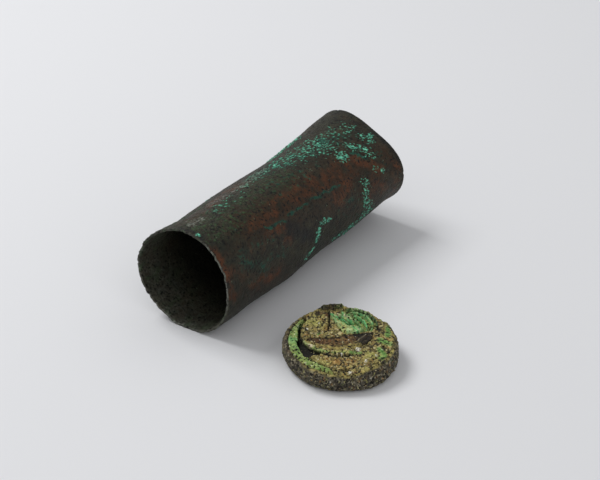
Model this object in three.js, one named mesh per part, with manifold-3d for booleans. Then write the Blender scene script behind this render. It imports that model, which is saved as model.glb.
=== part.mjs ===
// Amulet case: a short tube of rolled copper-alloy sheet, lying on its side with its mouth open,
// and its lid beside it, which still holds the end of what was kept inside.
// Millimetres, +Z up. The tube runs along +Y from its mouth, and the lid lies to its right.
import * as THREE from "three";
import { mergeVertices } from "three/addons/utils/BufferGeometryUtils.js";
import Module from "manifold-3d";

const DEG = Math.PI / 180;
const GAP = 0.3; // between pieces that touch
const TURNS = 60; // facets round the tube and round the lid's rings

// Tube: sheet wall, squashed out of round by its time in the ground
const TUBE_LENGTH = 92;
const WALL = 0.8;
const TUBE_STEPS = 18;
// Its section at the mouth, half way and at the far end: mean radius, how far its oval and its three
// blunt corners stand out, and the angle at which one of each stands, from +X towards +Z
const SECTIONS = [
  { radius: 17.0, oval: 0.1, ovalAt: 0, corners: 0.43, cornerAt: 65 },
  { radius: 16.8, oval: 0.34, ovalAt: 22, corners: 0.95, cornerAt: 64 },
  { radius: 16.9, oval: 0.43, ovalAt: -11, corners: 1.56, cornerAt: 2 },
];
// Dents (out below zero) and bulges along the side away from the lid and the side towards it
const DENTS = [
  { angle: 140, y: 12, out: -0.5, reach: 6 },
  { angle: 144, y: 36, out: 0.35, reach: 11 },
  { angle: 139, y: 58, out: -0.4, reach: 8 },
  { angle: 131, y: 84, out: 0.3, reach: 6 },
  { angle: -48, y: 17, out: -0.3, reach: 5 },
  { angle: -48, y: 36, out: 0.45, reach: 6 },
  { angle: -46, y: 54, out: -0.25, reach: 6 },
  { angle: -42, y: 70, out: 0.3, reach: 6 },
  { angle: -33, y: 87, out: -0.4, reach: 5 },
];
const DENT_WIDTH = 40; // degrees round the tube
const FLAT_DEPTH = 0.14; // pressed flat underneath, where the tube lies
const SEAM_AT = -112; // underneath, where one edge of the sheet laps over the other
const SEAM_STEP = 0.4;
const SEAM_FADE = 50; // degrees over which the lapping edge sinks back into the round
const RIM_WAVES = [
  { count: 5, size: 0.17, phase: 1.0 },
  { count: 11, size: 0.1, phase: 2.3 },
]; // the torn mouth

// Disc that closes the far end, set inside the tube
const BASE_THICK = 1.0;
const BASE_INSET = 0.5;
const BASE_DISH = 0.6; // how far its middle is pressed in

// Lid, in its own frame: +x right and +y away, as it is looked at, and z up from the table
const LID_PLACE = { x: 48.04, y: 11.93, turn: 35.1 };
const LID_TOP = 7.5; // the rim's height beside the middle
const LID_SLOPE = 0.075; // the rim rises towards the back
const PLATE = { radius: 14.5, thick: 1.8, edge: 0.9 };
const RIM = { radius: 17.1, inner: 15.1, lift: 0.25 };
const COLLAR = { outer: 14.75, inner: 12.6, low: 4.5 };
const COLLAR_SHOWN = { from: 139, to: 255, ease: 10 }; // where the inner ring stands to its full height
const BED = { radius: 12.3, rings: 6 };
const BED_BOTTOM = PLATE.thick + GAP;
const STRIP_FLOOR = 4.2; // the folded strip and the roll of foil stand this high in the earth
const ROLL_FLOOR = 6.0;

// Lumps and chips of the lid's rim: angle, half width in degrees and height
const RIM_RISES = [
  { angle: 101, width: 11, height: 1.5 },
  { angle: -88, width: 17, height: -1.0 },
  { angle: 45, width: 6, height: -0.7 },
];
// Swells and hollows of its side near the table
const SIDE_SWELLS = [
  { angle: -150, width: 30, out: -1.1 },
  { angle: -55, width: 24, out: 1.0 },
];

// The folded strip across the middle of the lid: its straight upper edge, then its curved lower edge
const STRIP_UPPER = [
  [9.3, 3.4],
  [5.8, 3.0],
  [1.4, 2.1],
  [-3.2, 0.9],
  [-8.6, 0.9],
];
const STRIP_LOWER = [
  [-9.6, -0.1],
  [-6.4, -2.6],
  [-1.9, -3.9],
  [3.6, -3.7],
  [7.2, -1.5],
  [9.4, 1.0],
];
// The outer fold of the same strip, along its lower edge
const LIP_LINE = [
  [-10.7, 0.7],
  [-8.6, -2.3],
  [-5.0, -4.8],
  [-0.4, -5.7],
  [3.2, -5.2],
];
const LIP_THICK = 1.1;

// Leaves of the rolled foil, outermost first: each one's line, seen from above
const LEAF_LINES = [
  [
    [2.0, 14.2],
    [4.9, 13.8],
    [7.2, 12.6],
    [9.4, 10.4],
    [10.9, 7.6],
    [10.5, 4.9],
  ],
  [
    [3.2, 12.9],
    [6.0, 12.2],
    [8.0, 10.4],
    [9.3, 8.4],
    [9.6, 6.4],
    [9.2, 4.6],
  ],
  [
    [1.9, 12.0],
    [4.4, 11.0],
    [6.2, 9.5],
    [7.4, 7.6],
    [7.8, 5.6],
    [7.6, 4.2],
  ],
  [
    [0.6, 13.4],
    [1.7, 11.0],
    [3.3, 9.5],
    [4.9, 8.2],
    [6.1, 6.6],
  ],
  [
    [-0.8, 12.6],
    [0.6, 10.6],
    [2.3, 8.9],
    [4.2, 7.5],
  ],
  [
    [-2.6, 12.6],
    [-0.9, 10.6],
    [0.9, 8.9],
    [2.8, 7.2],
  ],
];
const LEAF_THICK = 0.62;
const LEAF_RISE = [1.25, 0.95, 0.9, 0.95, 0.9, 0.8]; // above the rim's plane

// The solid green middle of the roll
const CORE_OUTLINE = [
  [-2.4, 11.0],
  [-1.3, 9.9],
  [0.4, 8.4],
  [2.6, 6.3],
  [4.4, 6.6],
  [5.6, 5.8],
  [6.9, 5.4],
  [6.9, 4.2],
  [4.6, 3.5],
  [1.6, 2.9],
  [0.3, 4.4],
  [-1.0, 7.4],
];

// Room left for them in the earth, and the bare hollow at the left of the strip
const ROLL_POCKET = [
  [-3.3, 13.6],
  [-2.7, 11.0],
  [-1.3, 7.3],
  [-0.2, 4.6],
  [0.6, 1.2],
  [9.2, 1.6],
  [11.3, 4.6],
  [11.6, 7.6],
  [9.9, 10.9],
  [8.9, 13.8],
  [1.6, 16.0],
];
const STRIP_POCKET = [
  [-11.7, 1.4],
  [-8.7, 1.5],
  [-3.3, 1.4],
  [1.3, 2.7],
  [5.8, 3.6],
  [10.1, 4.1],
  [9.9, 0.9],
  [7.6, -2.0],
  [4.2, -5.9],
  [-0.4, -6.7],
  [-5.6, -6.0],
  [-9.8, -3.0],
];
const HOLLOW = [
  [-13.0, 0.4],
  [-9.6, 0.1],
  [-5.2, -4.4],
  [-6.6, -6.5],
  [-9.4, -7.3],
  [-12.2, -5.4],
];
const HOLLOW_FLOOR = 4.6;

const wasm = await Module();
wasm.setup();

const blend = (from, to, at) => THREE.MathUtils.smoothstep(at, from, to);

// How near an angle is to another one, as a smooth bump of height 1 and the given half width
function bump(angle, at, width) {
  const off = Math.asin(Math.sin((angle - at) * 0.5 * DEG)) / (0.5 * DEG);
  return Math.exp(-((off / width) ** 2));
}

// Moves each vertex of a geometry to where the function puts it
function shaped(geometry, move) {
  const at = geometry.attributes.position;
  const v = new THREE.Vector3();
  for (let i = 0; i < at.count; i++) {
    move(v.fromBufferAttribute(at, i));
    at.setXYZ(i, v.x, v.y, v.z);
  }
  return geometry;
}

// A profile of [radius, height] turned round the z axis
function turned(profile) {
  const points = profile.map(([r, h]) => new THREE.Vector2(r, h));
  return new THREE.LatheGeometry(points, TURNS).rotateX(Math.PI / 2);
}

function toManifold(geometry) {
  const bare = geometry.clone();
  bare.deleteAttribute("normal");
  bare.deleteAttribute("uv");
  const merged = mergeVertices(bare, 1e-4);
  return new wasm.Manifold(
    new wasm.Mesh({
      numProp: 3,
      vertProperties: merged.attributes.position.array,
      triVerts: new Uint32Array(merged.index.array),
    }),
  );
}

function toGeometry(solid) {
  const mesh = solid.getMesh();
  const geometry = new THREE.BufferGeometry();
  const corners = new THREE.BufferAttribute(mesh.vertProperties, 3);
  geometry.setAttribute("position", corners);
  geometry.setIndex(new THREE.BufferAttribute(mesh.triVerts, 1));
  geometry.computeVertexNormals();
  return geometry;
}

function cut(geometry, ...cutters) {
  let solid = toManifold(geometry);
  for (const cutter of cutters) solid = solid.subtract(toManifold(cutter));
  return toGeometry(solid);
}

// Tube
function sectionRadius(section, angle) {
  const oval = section.oval * Math.cos(2 * (angle - section.ovalAt) * DEG);
  const corners = section.corners * Math.cos(3 * (angle - section.cornerAt) * DEG);
  return section.radius + oval + corners;
}

function lowest(section) {
  let low = 0;
  for (let angle = -180; angle < 0; angle++) {
    low = Math.min(low, sectionRadius(section, angle) * Math.sin(angle * DEG));
  }
  return -low;
}

const MOUTH_HEIGHT = lowest(SECTIONS[0]) - FLAT_DEPTH;
const END_HEIGHT = lowest(SECTIONS[2]) - FLAT_DEPTH;

// The tube's outer radius at an angle and a distance from the mouth
function tubeRadius(angle, y) {
  const s = y / TUBE_LENGTH;
  const share = [2 * (s - 0.5) * (s - 1), 4 * s * (1 - s), 2 * s * (s - 0.5)];
  let radius = 0;
  SECTIONS.forEach((section, i) => {
    radius += share[i] * sectionRadius(section, angle);
  });
  for (const dent of DENTS) {
    const along = Math.exp(-(((y - dent.y) / dent.reach) ** 2));
    radius += dent.out * along * bump(angle, dent.angle, DENT_WIDTH);
  }
  const past = (((angle - SEAM_AT) % 360) + 360) % 360;
  if (past < SEAM_FADE) radius += SEAM_STEP * (1 - past / SEAM_FADE);
  return radius;
}

// Puts a vertex of the round tube where the squashed tube has it
function squash(v) {
  const angle = Math.atan2(v.z, v.x) / DEG;
  const y = v.y;
  const inside = SECTIONS[0].radius - Math.hypot(v.x, v.z);
  const radius = tubeRadius(angle, y) - inside;
  const height = THREE.MathUtils.lerp(MOUTH_HEIGHT, END_HEIGHT, y / TUBE_LENGTH);
  if (y === 0) {
    for (const wave of RIM_WAVES) {
      v.y += wave.size * Math.sin(wave.count * angle * DEG + wave.phase);
    }
  }
  v.x = radius * Math.cos(angle * DEG);
  v.z = Math.max(height + radius * Math.sin(angle * DEG), inside);
}

function tubeWall() {
  const outer = SECTIONS[0].radius;
  const profile = [];
  for (let i = 0; i <= TUBE_STEPS; i++) {
    profile.push(new THREE.Vector2(outer, (TUBE_LENGTH * i) / TUBE_STEPS));
  }
  for (let i = TUBE_STEPS; i >= 0; i--) {
    profile.push(new THREE.Vector2(outer - WALL, (TUBE_LENGTH * i) / TUBE_STEPS));
  }
  profile.push(profile[0]);
  return shaped(new THREE.LatheGeometry(profile, TURNS), squash);
}

function baseDisc() {
  const edge = SECTIONS[0].radius - WALL - GAP;
  const back = TUBE_LENGTH - BASE_INSET;
  const front = back - BASE_THICK;
  const profile = [
    [0, front - BASE_DISH],
    [edge * 0.6, front - BASE_DISH],
    [edge * 0.85, front],
    [edge, front],
    [edge, back],
    [edge * 0.85, back],
    [edge * 0.6, back - BASE_DISH],
    [0, back - BASE_DISH],
  ].map(([r, h]) => new THREE.Vector2(r, h));
  return shaped(new THREE.LatheGeometry(profile, TURNS), (v) => {
    const reach = Math.hypot(v.x, v.z);
    if (reach < 1e-6) v.z = THREE.MathUtils.lerp(MOUTH_HEIGHT, END_HEIGHT, 1);
    else {
      const share = reach / edge;
      v.x *= edge / reach;
      v.z *= edge / reach;
      squash(v);
      v.x *= share;
      v.z = END_HEIGHT + (v.z - END_HEIGHT) * share;
    }
  });
}

// Lid
const topPlane = (y) => LID_TOP + LID_SLOPE * y;

function rimHeight(angle) {
  let height = topPlane(RIM.radius * Math.sin(angle * DEG));
  for (const rise of RIM_RISES) {
    height += rise.height * bump(angle, rise.angle, rise.width);
  }
  return height;
}

function lidPlate() {
  const { radius, thick, edge } = PLATE;
  return turned([
    [0, 0],
    [radius - edge, 0],
    [radius, edge],
    [radius, thick],
    [0, thick],
  ]);
}

function lidRim() {
  const { radius, inner, lift } = RIM;
  const top = LID_TOP;
  const profile = [
    [inner, lift + 0.5],
    [inner + 0.5, lift],
    [radius - 0.9, lift + 0.3],
    [radius - 0.2, lift + 1.3],
    [radius, 3.0],
    [radius, top - 2.2],
    [radius - 0.4, top - 0.8],
    [radius - 1.1, top - 0.1],
    [inner + 0.3, top],
    [inner, top - 0.5],
  ];
  profile.push(profile[0]);
  return shaped(turned(profile), (v) => {
    const angle = Math.atan2(v.y, v.x) / DEG;
    const share = (v.z - lift) / (top - lift);
    let scale = 1;
    if (Math.hypot(v.x, v.y) > inner + 0.1) {
      for (const swell of SIDE_SWELLS) {
        const low = 1 - blend(0.2, 0.9, share);
        scale += (swell.out / radius) * low * bump(angle, swell.angle, swell.width);
      }
    }
    v.x *= scale;
    v.y *= scale;
    v.z = lift + share * (rimHeight(angle) - lift);
  });
}

// 1 where the inner ring shows at its full height, 0 where it is broken low and covered
function collarShown(angle) {
  const turn = (angle + 360) % 360;
  const { from, to, ease } = COLLAR_SHOWN;
  return blend(from - ease, from, turn) * (1 - blend(to, to + ease, turn));
}

function collarHeight(angle) {
  const full = topPlane(COLLAR.outer * Math.sin(angle * DEG)) - 0.2;
  return THREE.MathUtils.lerp(COLLAR.low, full, collarShown(angle));
}

function innerCollar() {
  const { outer, inner, low } = COLLAR;
  const profile = [
    [inner, BED_BOTTOM],
    [outer, BED_BOTTOM],
    [outer, low - 0.4],
    [outer - 0.4, low],
    [inner + 0.4, low],
    [inner, low - 0.4],
  ];
  profile.push(profile[0]);
  return shaped(turned(profile), (v) => {
    const angle = Math.atan2(v.y, v.x) / DEG;
    if (v.z > BED_BOTTOM + 0.1) v.z += collarHeight(angle) - low;
  });
}

// Top of the earth that fills the lid
function bedHeight(x, y) {
  let height = topPlane(y) - 0.15;
  height -= 0.35 * blend(4, 12, -y);
  height -= 0.5 * Math.exp(-(((x + 1) / 6) ** 2)) * blend(11, 15, -y);
  height += 0.35 * Math.exp(-(((x + 6) / 4) ** 2) - ((y - 7) / 4) ** 2);
  height -= 0.25 * Math.exp(-(((x - 8) / 4) ** 2) - ((y + 3) / 3) ** 2);
  return height;
}

// A flat-bottomed solid over an outline seen from above, whose top follows a height function
function standing(shape, bottom, height) {
  const options = { depth: 1, bevelEnabled: false, curveSegments: 10 };
  return shaped(new THREE.ExtrudeGeometry(shape, options), (v) => {
    v.z = v.z > 0.5 ? height(v.x, v.y) : bottom;
  });
}

const vectors = (points) => points.map(([x, y]) => new THREE.Vector2(x, y));
const outline = (points) => new THREE.Shape(vectors(points));

function pocket(points, floor) {
  return standing(outline(points), floor, () => 20);
}

function packing() {
  const shelf = COLLAR.low + GAP;
  const reach = RIM.inner - GAP;
  const { radius, rings } = BED;
  const profile = [
    [0, BED_BOTTOM],
    [radius, BED_BOTTOM],
    [radius, shelf - 0.4],
    [reach, shelf],
    [reach, LID_TOP - 0.25],
  ];
  for (let i = rings; i >= 0; i--) profile.push([(radius * i) / rings, LID_TOP]);
  const bed = shaped(turned(profile), (v) => {
    const angle = Math.atan2(v.y, v.x) / DEG;
    const from = Math.hypot(v.x, v.y);
    if (from > radius + 0.1) {
      const { from: a, to: b, ease } = COLLAR_SHOWN;
      const turn = (angle + 360) % 360;
      const clear = 1 - blend(a - 2 * ease, a - ease, turn) * (1 - blend(b + ease, b + 2 * ease, turn));
      const share = THREE.MathUtils.lerp(radius, reach, clear) / from;
      v.x *= share;
      v.y *= share;
    }
    if (v.z > shelf + 0.1) v.z = bedHeight(v.x, v.y) + v.z - LID_TOP;
  });
  return cut(
    bed,
    pocket(ROLL_POCKET, ROLL_FLOOR - GAP),
    pocket(STRIP_POCKET, STRIP_FLOOR - GAP),
    pocket(HOLLOW, HOLLOW_FLOOR),
  );
}

function foldedStrip() {
  const upper = new THREE.SplineCurve(vectors(STRIP_UPPER)).getPoints(8);
  const lower = new THREE.SplineCurve(vectors(STRIP_LOWER)).getPoints(12);
  const shape = new THREE.Shape([...upper, ...lower]);
  return standing(shape, STRIP_FLOOR, (x, y) => topPlane(y) - 0.25 + 0.04 * y);
}

// A leaf of the given thickness along a line, thinner at its two ends
function leafShape(points, thick) {
  const line = new THREE.SplineCurve(vectors(points));
  const steps = 12;
  const left = [];
  const right = [];
  for (let i = 0; i <= steps; i++) {
    const u = i / steps;
    const at = line.getPoint(u);
    const along = line.getTangent(u);
    const half = (thick / 2) * (0.45 + 0.55 * Math.sin(Math.PI * u) ** 0.5);
    const side = new THREE.Vector2(-along.y, along.x).multiplyScalar(half);
    left.push(at.clone().add(side));
    right.unshift(at.clone().sub(side));
  }
  return new THREE.Shape([...left, ...right]);
}

function foilLeaf(i) {
  const shape = leafShape(LEAF_LINES[i], LEAF_THICK);
  const fall = (x) => 0.055 * Math.max(0, x - 4);
  return standing(shape, ROLL_FLOOR, (x, y) => topPlane(y) + LEAF_RISE[i] - fall(x));
}

// Materials: corroded copper alloy and the earth that has set round it
const finish = (color, roughness, metalness) =>
  new THREE.MeshStandardMaterial({ color, roughness, metalness });
const brownBronze = finish(0x3a332a, 0.7, 0.4);
const darkCrust = finish(0x3b3a34, 0.9, 0.1);
const greenBronze = finish(0x6fa75c, 0.85, 0.1);
const foilGreen = finish(0x3f9a62, 0.8, 0.1);
const stripBrown = finish(0x5a4530, 0.85, 0.1);
const setEarth = finish(0x80733f, 0.95, 0);

function piece(name, geometry, material) {
  const mesh = new THREE.Mesh(geometry, material);
  mesh.name = name;
  return mesh;
}

const tube = new THREE.Group();
tube.add(piece("tube_wall", tubeWall(), brownBronze));
tube.add(piece("base_disc", baseDisc(), brownBronze));

const lid = new THREE.Group();
lid.add(piece("lid_plate", lidPlate(), darkCrust));
lid.add(piece("lid_rim", lidRim(), darkCrust));
lid.add(piece("inner_collar", innerCollar(), greenBronze));
lid.add(piece("packing", packing(), setEarth));
lid.add(piece("folded_strip", foldedStrip(), stripBrown));
const lipShape = leafShape(LIP_LINE, LIP_THICK);
const lipTop = (x, y) => topPlane(y) - 0.1;
lid.add(piece("strip_fold", standing(lipShape, STRIP_FLOOR, lipTop), greenBronze));
const coreTop = (x, y) => topPlane(y) + 0.25 + 0.04 * y;
lid.add(piece("foil_core", standing(outline(CORE_OUTLINE), ROLL_FLOOR, coreTop), foilGreen));
LEAF_LINES.forEach((line, i) => {
  lid.add(piece(`foil_leaf_${i + 1}`, foilLeaf(i), foilGreen));
});
lid.position.set(LID_PLACE.x, LID_PLACE.y, 0);
lid.rotation.z = LID_PLACE.turn * DEG;

// The whole stands on z = 0, with the middle of its footprint at the origin
const amuletCase = new THREE.Group();
amuletCase.add(tube, lid);
amuletCase.updateMatrixWorld(true);
const bounds = new THREE.Box3().setFromObject(amuletCase, true);
const middle = bounds.getCenter(new THREE.Vector3());
amuletCase.position.set(-middle.x, -middle.y, -bounds.min.z);

export default amuletCase;
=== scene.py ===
# %% [markdown]
# # Amulet case
# A tube of copper-alloy sheet lies on its side with its mouth open, and its lid lies beside it with the
# stub of a foil roll set hard in earth. Two thousand years in the ground have covered the metal with
# patina, so nearly all that the eye sees is mineral: brown and olive skin, red oxide, blue-green crust.
# The frame gives the place of every piece. Each one is built again here on the same measures, with a mesh
# fine enough for the crust, pits and torn edges to be real shape.

# %% Frame and libraries
import itertools

import bmesh
import bpy
import numpy as np
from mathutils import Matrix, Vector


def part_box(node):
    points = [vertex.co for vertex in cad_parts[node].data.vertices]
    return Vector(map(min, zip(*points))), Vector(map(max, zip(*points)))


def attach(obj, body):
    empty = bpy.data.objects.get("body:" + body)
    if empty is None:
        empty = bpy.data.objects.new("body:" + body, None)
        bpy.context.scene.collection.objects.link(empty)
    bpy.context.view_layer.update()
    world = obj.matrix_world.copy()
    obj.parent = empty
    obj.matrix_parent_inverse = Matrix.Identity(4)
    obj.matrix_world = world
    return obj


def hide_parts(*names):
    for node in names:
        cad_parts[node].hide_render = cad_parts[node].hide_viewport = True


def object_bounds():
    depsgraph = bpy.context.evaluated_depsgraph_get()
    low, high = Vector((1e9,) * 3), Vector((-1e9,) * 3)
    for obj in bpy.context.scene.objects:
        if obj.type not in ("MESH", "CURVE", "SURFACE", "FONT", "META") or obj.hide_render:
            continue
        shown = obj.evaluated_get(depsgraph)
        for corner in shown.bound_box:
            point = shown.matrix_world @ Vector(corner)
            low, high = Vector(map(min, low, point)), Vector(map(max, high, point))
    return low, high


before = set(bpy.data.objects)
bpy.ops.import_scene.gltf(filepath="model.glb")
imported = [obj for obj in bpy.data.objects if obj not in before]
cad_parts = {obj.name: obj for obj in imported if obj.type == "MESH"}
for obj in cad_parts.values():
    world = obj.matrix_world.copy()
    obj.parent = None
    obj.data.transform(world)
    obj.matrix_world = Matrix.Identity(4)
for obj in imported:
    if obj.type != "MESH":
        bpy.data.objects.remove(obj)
cad_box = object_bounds()
MM = 0.001
low, high = (np.array(corner) / MM for corner in cad_box)
print("CAD box, mm:", low.round(2), high.round(2))

# %% [markdown]
# ## Where things lie
# All lengths are millimetres until a mesh is made. The lid's plate is round, so its box gives the lid's
# middle, and the tube's axis lies at a known offset from it. The lid has its own axes, turned so that +x
# is right and +y away as the camera sees it.

# %% Places
plate_box = [np.array(corner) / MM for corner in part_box("lid_plate")]
LID_MIDDLE = (plate_box[0] + plate_box[1])[:2] / 2
LID_OFFSET = np.array([48.04, 11.93])
TUBE_X, MOUTH_Y = LID_MIDDLE - LID_OFFSET
LID_TURN = np.radians(35.1)
print("lid middle", LID_MIDDLE.round(3), "tube axis", TUBE_X.round(3), "mouth", MOUTH_Y.round(3))

# %% [markdown]
# ## Small tools
# Crust, pits and stains need noise at several sizes on many thousands of points at once, so the noise is
# written for whole arrays. `fractal` sums octaves of gradient noise and stays near -1 to 1, `grains` gives
# the distance to scattered centres, which makes rounded grains, and `painted` measures how near a point
# is to drawn lines, which is how a stain is placed. Noise that is the same all the way down is read
# `on_plan`, at height nought.

# %% Noise
def scrambled(cell, seed):
    h = cell[..., 0] * 73856093 ^ cell[..., 1] * 19349663 ^ cell[..., 2] * 83492791 ^ seed * 2654435761
    h = (h ^ (h >> 13)) * 1274126177 & 0x7FFFFFFF
    return (h ^ (h >> 16)) & 0xFFFFFF


def lattice_noise(p, seed):
    cell = np.floor(p).astype(np.int64)
    f = p - cell
    w = f * f * f * (f * (f * 6 - 15) + 10)
    total = np.zeros(len(p))
    for corner in itertools.product((0, 1), repeat=3):
        h = scrambled(cell + corner, seed)
        grad = np.stack([(h & 255), (h >> 8) & 255, (h >> 16) & 255], 1) / 127.5 - 1
        share = np.prod(np.where(np.array(corner) == 1, w, 1 - w), axis=1)
        total += share * (grad * (f - corner)).sum(1)
    return total * 1.6


def fractal(p, size, seed, octaves=4):
    total, weight = np.zeros(len(p)), 0
    for i in range(octaves):
        amount = 0.55 ** i
        total += amount * lattice_noise(p / size * 2 ** i, seed + i)
        weight += amount
    return total / weight * 1.5


def grains(p, size, seed):
    """Distance to the nearest scattered centre, in grain sizes, and a number from 0 to 1 for that grain."""
    q = p / size
    cell = np.floor(q).astype(np.int64)
    nearest, owner = np.full(len(p), 9.0), np.zeros(len(p))
    for offset in itertools.product((-1, 0, 1), repeat=3):
        c = cell + offset
        h = scrambled(c, seed)
        centre = c + np.stack([(h & 255), (h >> 8) & 255, (h >> 16) & 255], 1) / 255
        d = np.linalg.norm(q - centre, axis=1)
        closer = d < nearest
        nearest = np.where(closer, d, nearest)
        owner = np.where(closer, (h % 1009) / 1009, owner)
    return nearest, owner


# %% Steps and painted strokes
def smooth(lo, hi, x):
    t = np.clip((x - lo) / (hi - lo), 0, 1)
    return t * t * (3 - 2 * t)


def on_plan(x, y):
    return np.stack([x, y, 0 * x], 1)


def line_distance(points, x, y):
    near = np.full(x.shape, 1e9)
    for a, b in zip(points, points[1:] if len(points) > 1 else points):
        a, b = np.array(a, float), np.array(b, float)
        ab = b - a
        length = max((ab ** 2).sum(), 1e-9)
        t = np.clip(((x - a[0]) * ab[0] + (y - a[1]) * ab[1]) / length, 0, 1)
        near = np.minimum(near, np.hypot(x - a[0] - t * ab[0], y - a[1] - t * ab[1]))
    return near


def painted(strokes, x, y):
    """How thickly strokes of (points, half width, strength) cover each place, from 0 to 1."""
    cover = np.zeros(x.shape)
    for points, width, strength in strokes:
        cover = np.maximum(cover, strength * np.exp(-(line_distance(points, x, y) / width) ** 2))
    return cover


# %% [markdown]
# A piece is a net of rows and columns of points, closed round one way, both ways or neither. Its masks are
# stored on the points, where the material reads them, so that the colour of a crust lies exactly on its
# raised shape.

# %% Pieces from nets of points
def inside_box(points):
    return np.clip(points, low, high)


def net_faces(rows, cols, wrap_rows, wrap_cols):
    r = np.arange(rows if wrap_rows else rows - 1)
    c = np.arange(cols if wrap_cols else cols - 1)
    a, b = np.meshgrid(r, c, indexing="ij")
    a2, b2 = (a + 1) % rows, (b + 1) % cols
    corners = [a * cols + b, a * cols + b2, a2 * cols + b2, a2 * cols + b]
    return np.stack([k.ravel() for k in corners], 1)


def make_piece(name, points, faces, masks, material, body, nodes):
    mesh = bpy.data.meshes.new(name)
    mesh.from_pydata((inside_box(points) * MM).tolist(), [], [list(map(int, face)) for face in faces])
    mesh.validate()
    mesh.shade_smooth()
    for mask, values in masks.items():
        layer = mesh.attributes.new(mask, "FLOAT", "POINT")
        layer.data.foreach_set("value", np.clip(values, 0, 1).astype(np.float32))
    mesh.materials.append(material)
    piece = bpy.data.objects.new(name, mesh)
    bpy.context.collection.objects.link(piece)
    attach(piece, body)
    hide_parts(*nodes)
    print(name, len(points), "points")
    return piece


# %% [markdown]
# ## Materials
# Colours are written as they look on a screen and turned to linear light by one function. Patina is not
# metal to the eye: it is a crust of minerals, so nothing here is metallic. The index of refraction stays
# at 1.5, and the gloss is cut down to that of a fine dry skin. `add` puts in a node with its settings and
# its links.

# %% Colour and node helpers
MIX_FACTOR, MIX_A, MIX_B, MIX_RESULT = 0, 6, 7, 2
DRY_SPECULAR = 0.22  # porous minerals scatter most of what a smooth skin would mirror


def linear(hex_colour):
    parts = [(hex_colour >> shift & 255) / 255 for shift in (16, 8, 0)]
    return [c / 12.92 if c <= 0.04045 else ((c + 0.055) / 1.055) ** 2.4 for c in parts] + [1]


def add(tree, kind, inputs=None, output=0, **settings):
    node = tree.nodes.new(kind)
    for key, value in settings.items():
        setattr(node, key, value)
    for key, value in (inputs or {}).items():
        if isinstance(value, bpy.types.NodeSocket):
            tree.links.new(value, node.inputs[key])
        else:
            node.inputs[key].default_value = value
    return node.outputs[output] if len(node.outputs) else node


def new_material(name):
    material = bpy.data.materials.new(name)
    material.use_nodes = True
    tree = material.node_tree
    tree.nodes.clear()
    place = add(tree, "ShaderNodeTexCoord", output="Object")
    return material, tree, place


def layered(tree, base, layers):
    """The base colour with each (mask, colour) laid over it in turn."""
    for mask, colour in layers:
        inputs = {MIX_FACTOR: mask, MIX_A: base, MIX_B: colour}
        base = add(tree, "ShaderNodeMix", inputs, MIX_RESULT, data_type="RGBA")
    return base


# %% [markdown]
# No mineral is of one colour. So `tone` gives a colour that wanders between two, in patches of a size in
# millimetres. `surface` adds a fine grit as bump, because what is finer than the mesh shows only in how
# it catches the light.

# %% Patches, tones and the finished surface
def speckle(tree, place, size, detail=3, start=0.32, end=0.68):
    """Noise in patches of a size in millimetres, which goes from 0 at one level to 1 at another."""
    inputs = {"Vector": place, "Scale": 0.5 / (size * MM), "Detail": detail, "Roughness": 0.6}
    noise = add(tree, "ShaderNodeTexNoise", inputs)
    return add(tree, "ShaderNodeMapRange", {0: noise, 1: start, 2: end})


def tone(tree, place, size, first, second, detail=3):
    """A colour that wanders between two."""
    inputs = {MIX_FACTOR: speckle(tree, place, size, detail), MIX_A: linear(first), MIX_B: linear(second)}
    return add(tree, "ShaderNodeMix", inputs, MIX_RESULT, data_type="RGBA")


def mask_of(tree, name):
    return add(tree, "ShaderNodeAttribute", output="Fac", attribute_name=name)


def surface(tree, colour, roughness, grit, depth):
    """The finished mineral surface, with grit of the given size and depth in millimetres as bump."""
    height = speckle(tree, add(tree, "ShaderNodeTexCoord", output="Object"), grit, 4)
    relief = add(tree, "ShaderNodeBump", {"Height": height, "Distance": depth * MM, "Strength": 1.0})
    inputs = {"Base Color": colour, "Roughness": roughness, "Normal": relief}
    inputs["Specular IOR Level"] = DRY_SPECULAR
    shader = add(tree, "ShaderNodeBsdfPrincipled", inputs)
    add(tree, "ShaderNodeOutputMaterial", {"Surface": shader})


# %% [markdown]
# ### Pores and grains
# Every surface here is sprinkled with dark pores and pale grains. Real pores are a tenth of a millimetre
# across, too fine to show, so they are drawn at just under half a millimetre.

# %% Pores and grains
def sprinkled(tree, place, colour, size, dark, pale, dark_from=0.56, pale_from=0.66):
    """The colour with dark pores and pale grains of a size in millimetres scattered through it."""
    shifted = add(tree, "ShaderNodeVectorMath", {0: place, 1: (0.37, 0.11, 0.53)}, operation="ADD")
    layers = [
        (speckle(tree, place, size, 2, dark_from, dark_from + 0.08), linear(dark)),
        (speckle(tree, shifted, size, 2, pale_from, pale_from + 0.06), linear(pale)),
    ]
    return layered(tree, colour, layers)


# %% [markdown]
# ### Brown and olive patina, with red oxide and blue-green crust
# The tube is sheet copper alloy, hammered and rolled, and then buried. Its skin is tight brown and olive
# oxide with a dull sheen. Under it lies red copper oxide, cuprite, which shows where the skin has flaked.
# On it sit matt crusts of copper carbonate and chloride, from dark teal to bright turquoise, as crumbs of
# under half a millimetre. One material carries them all, in the order in which they lie on each other.

# %% Tube patina
PATINA_ROUGHNESS = 0.52


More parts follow.
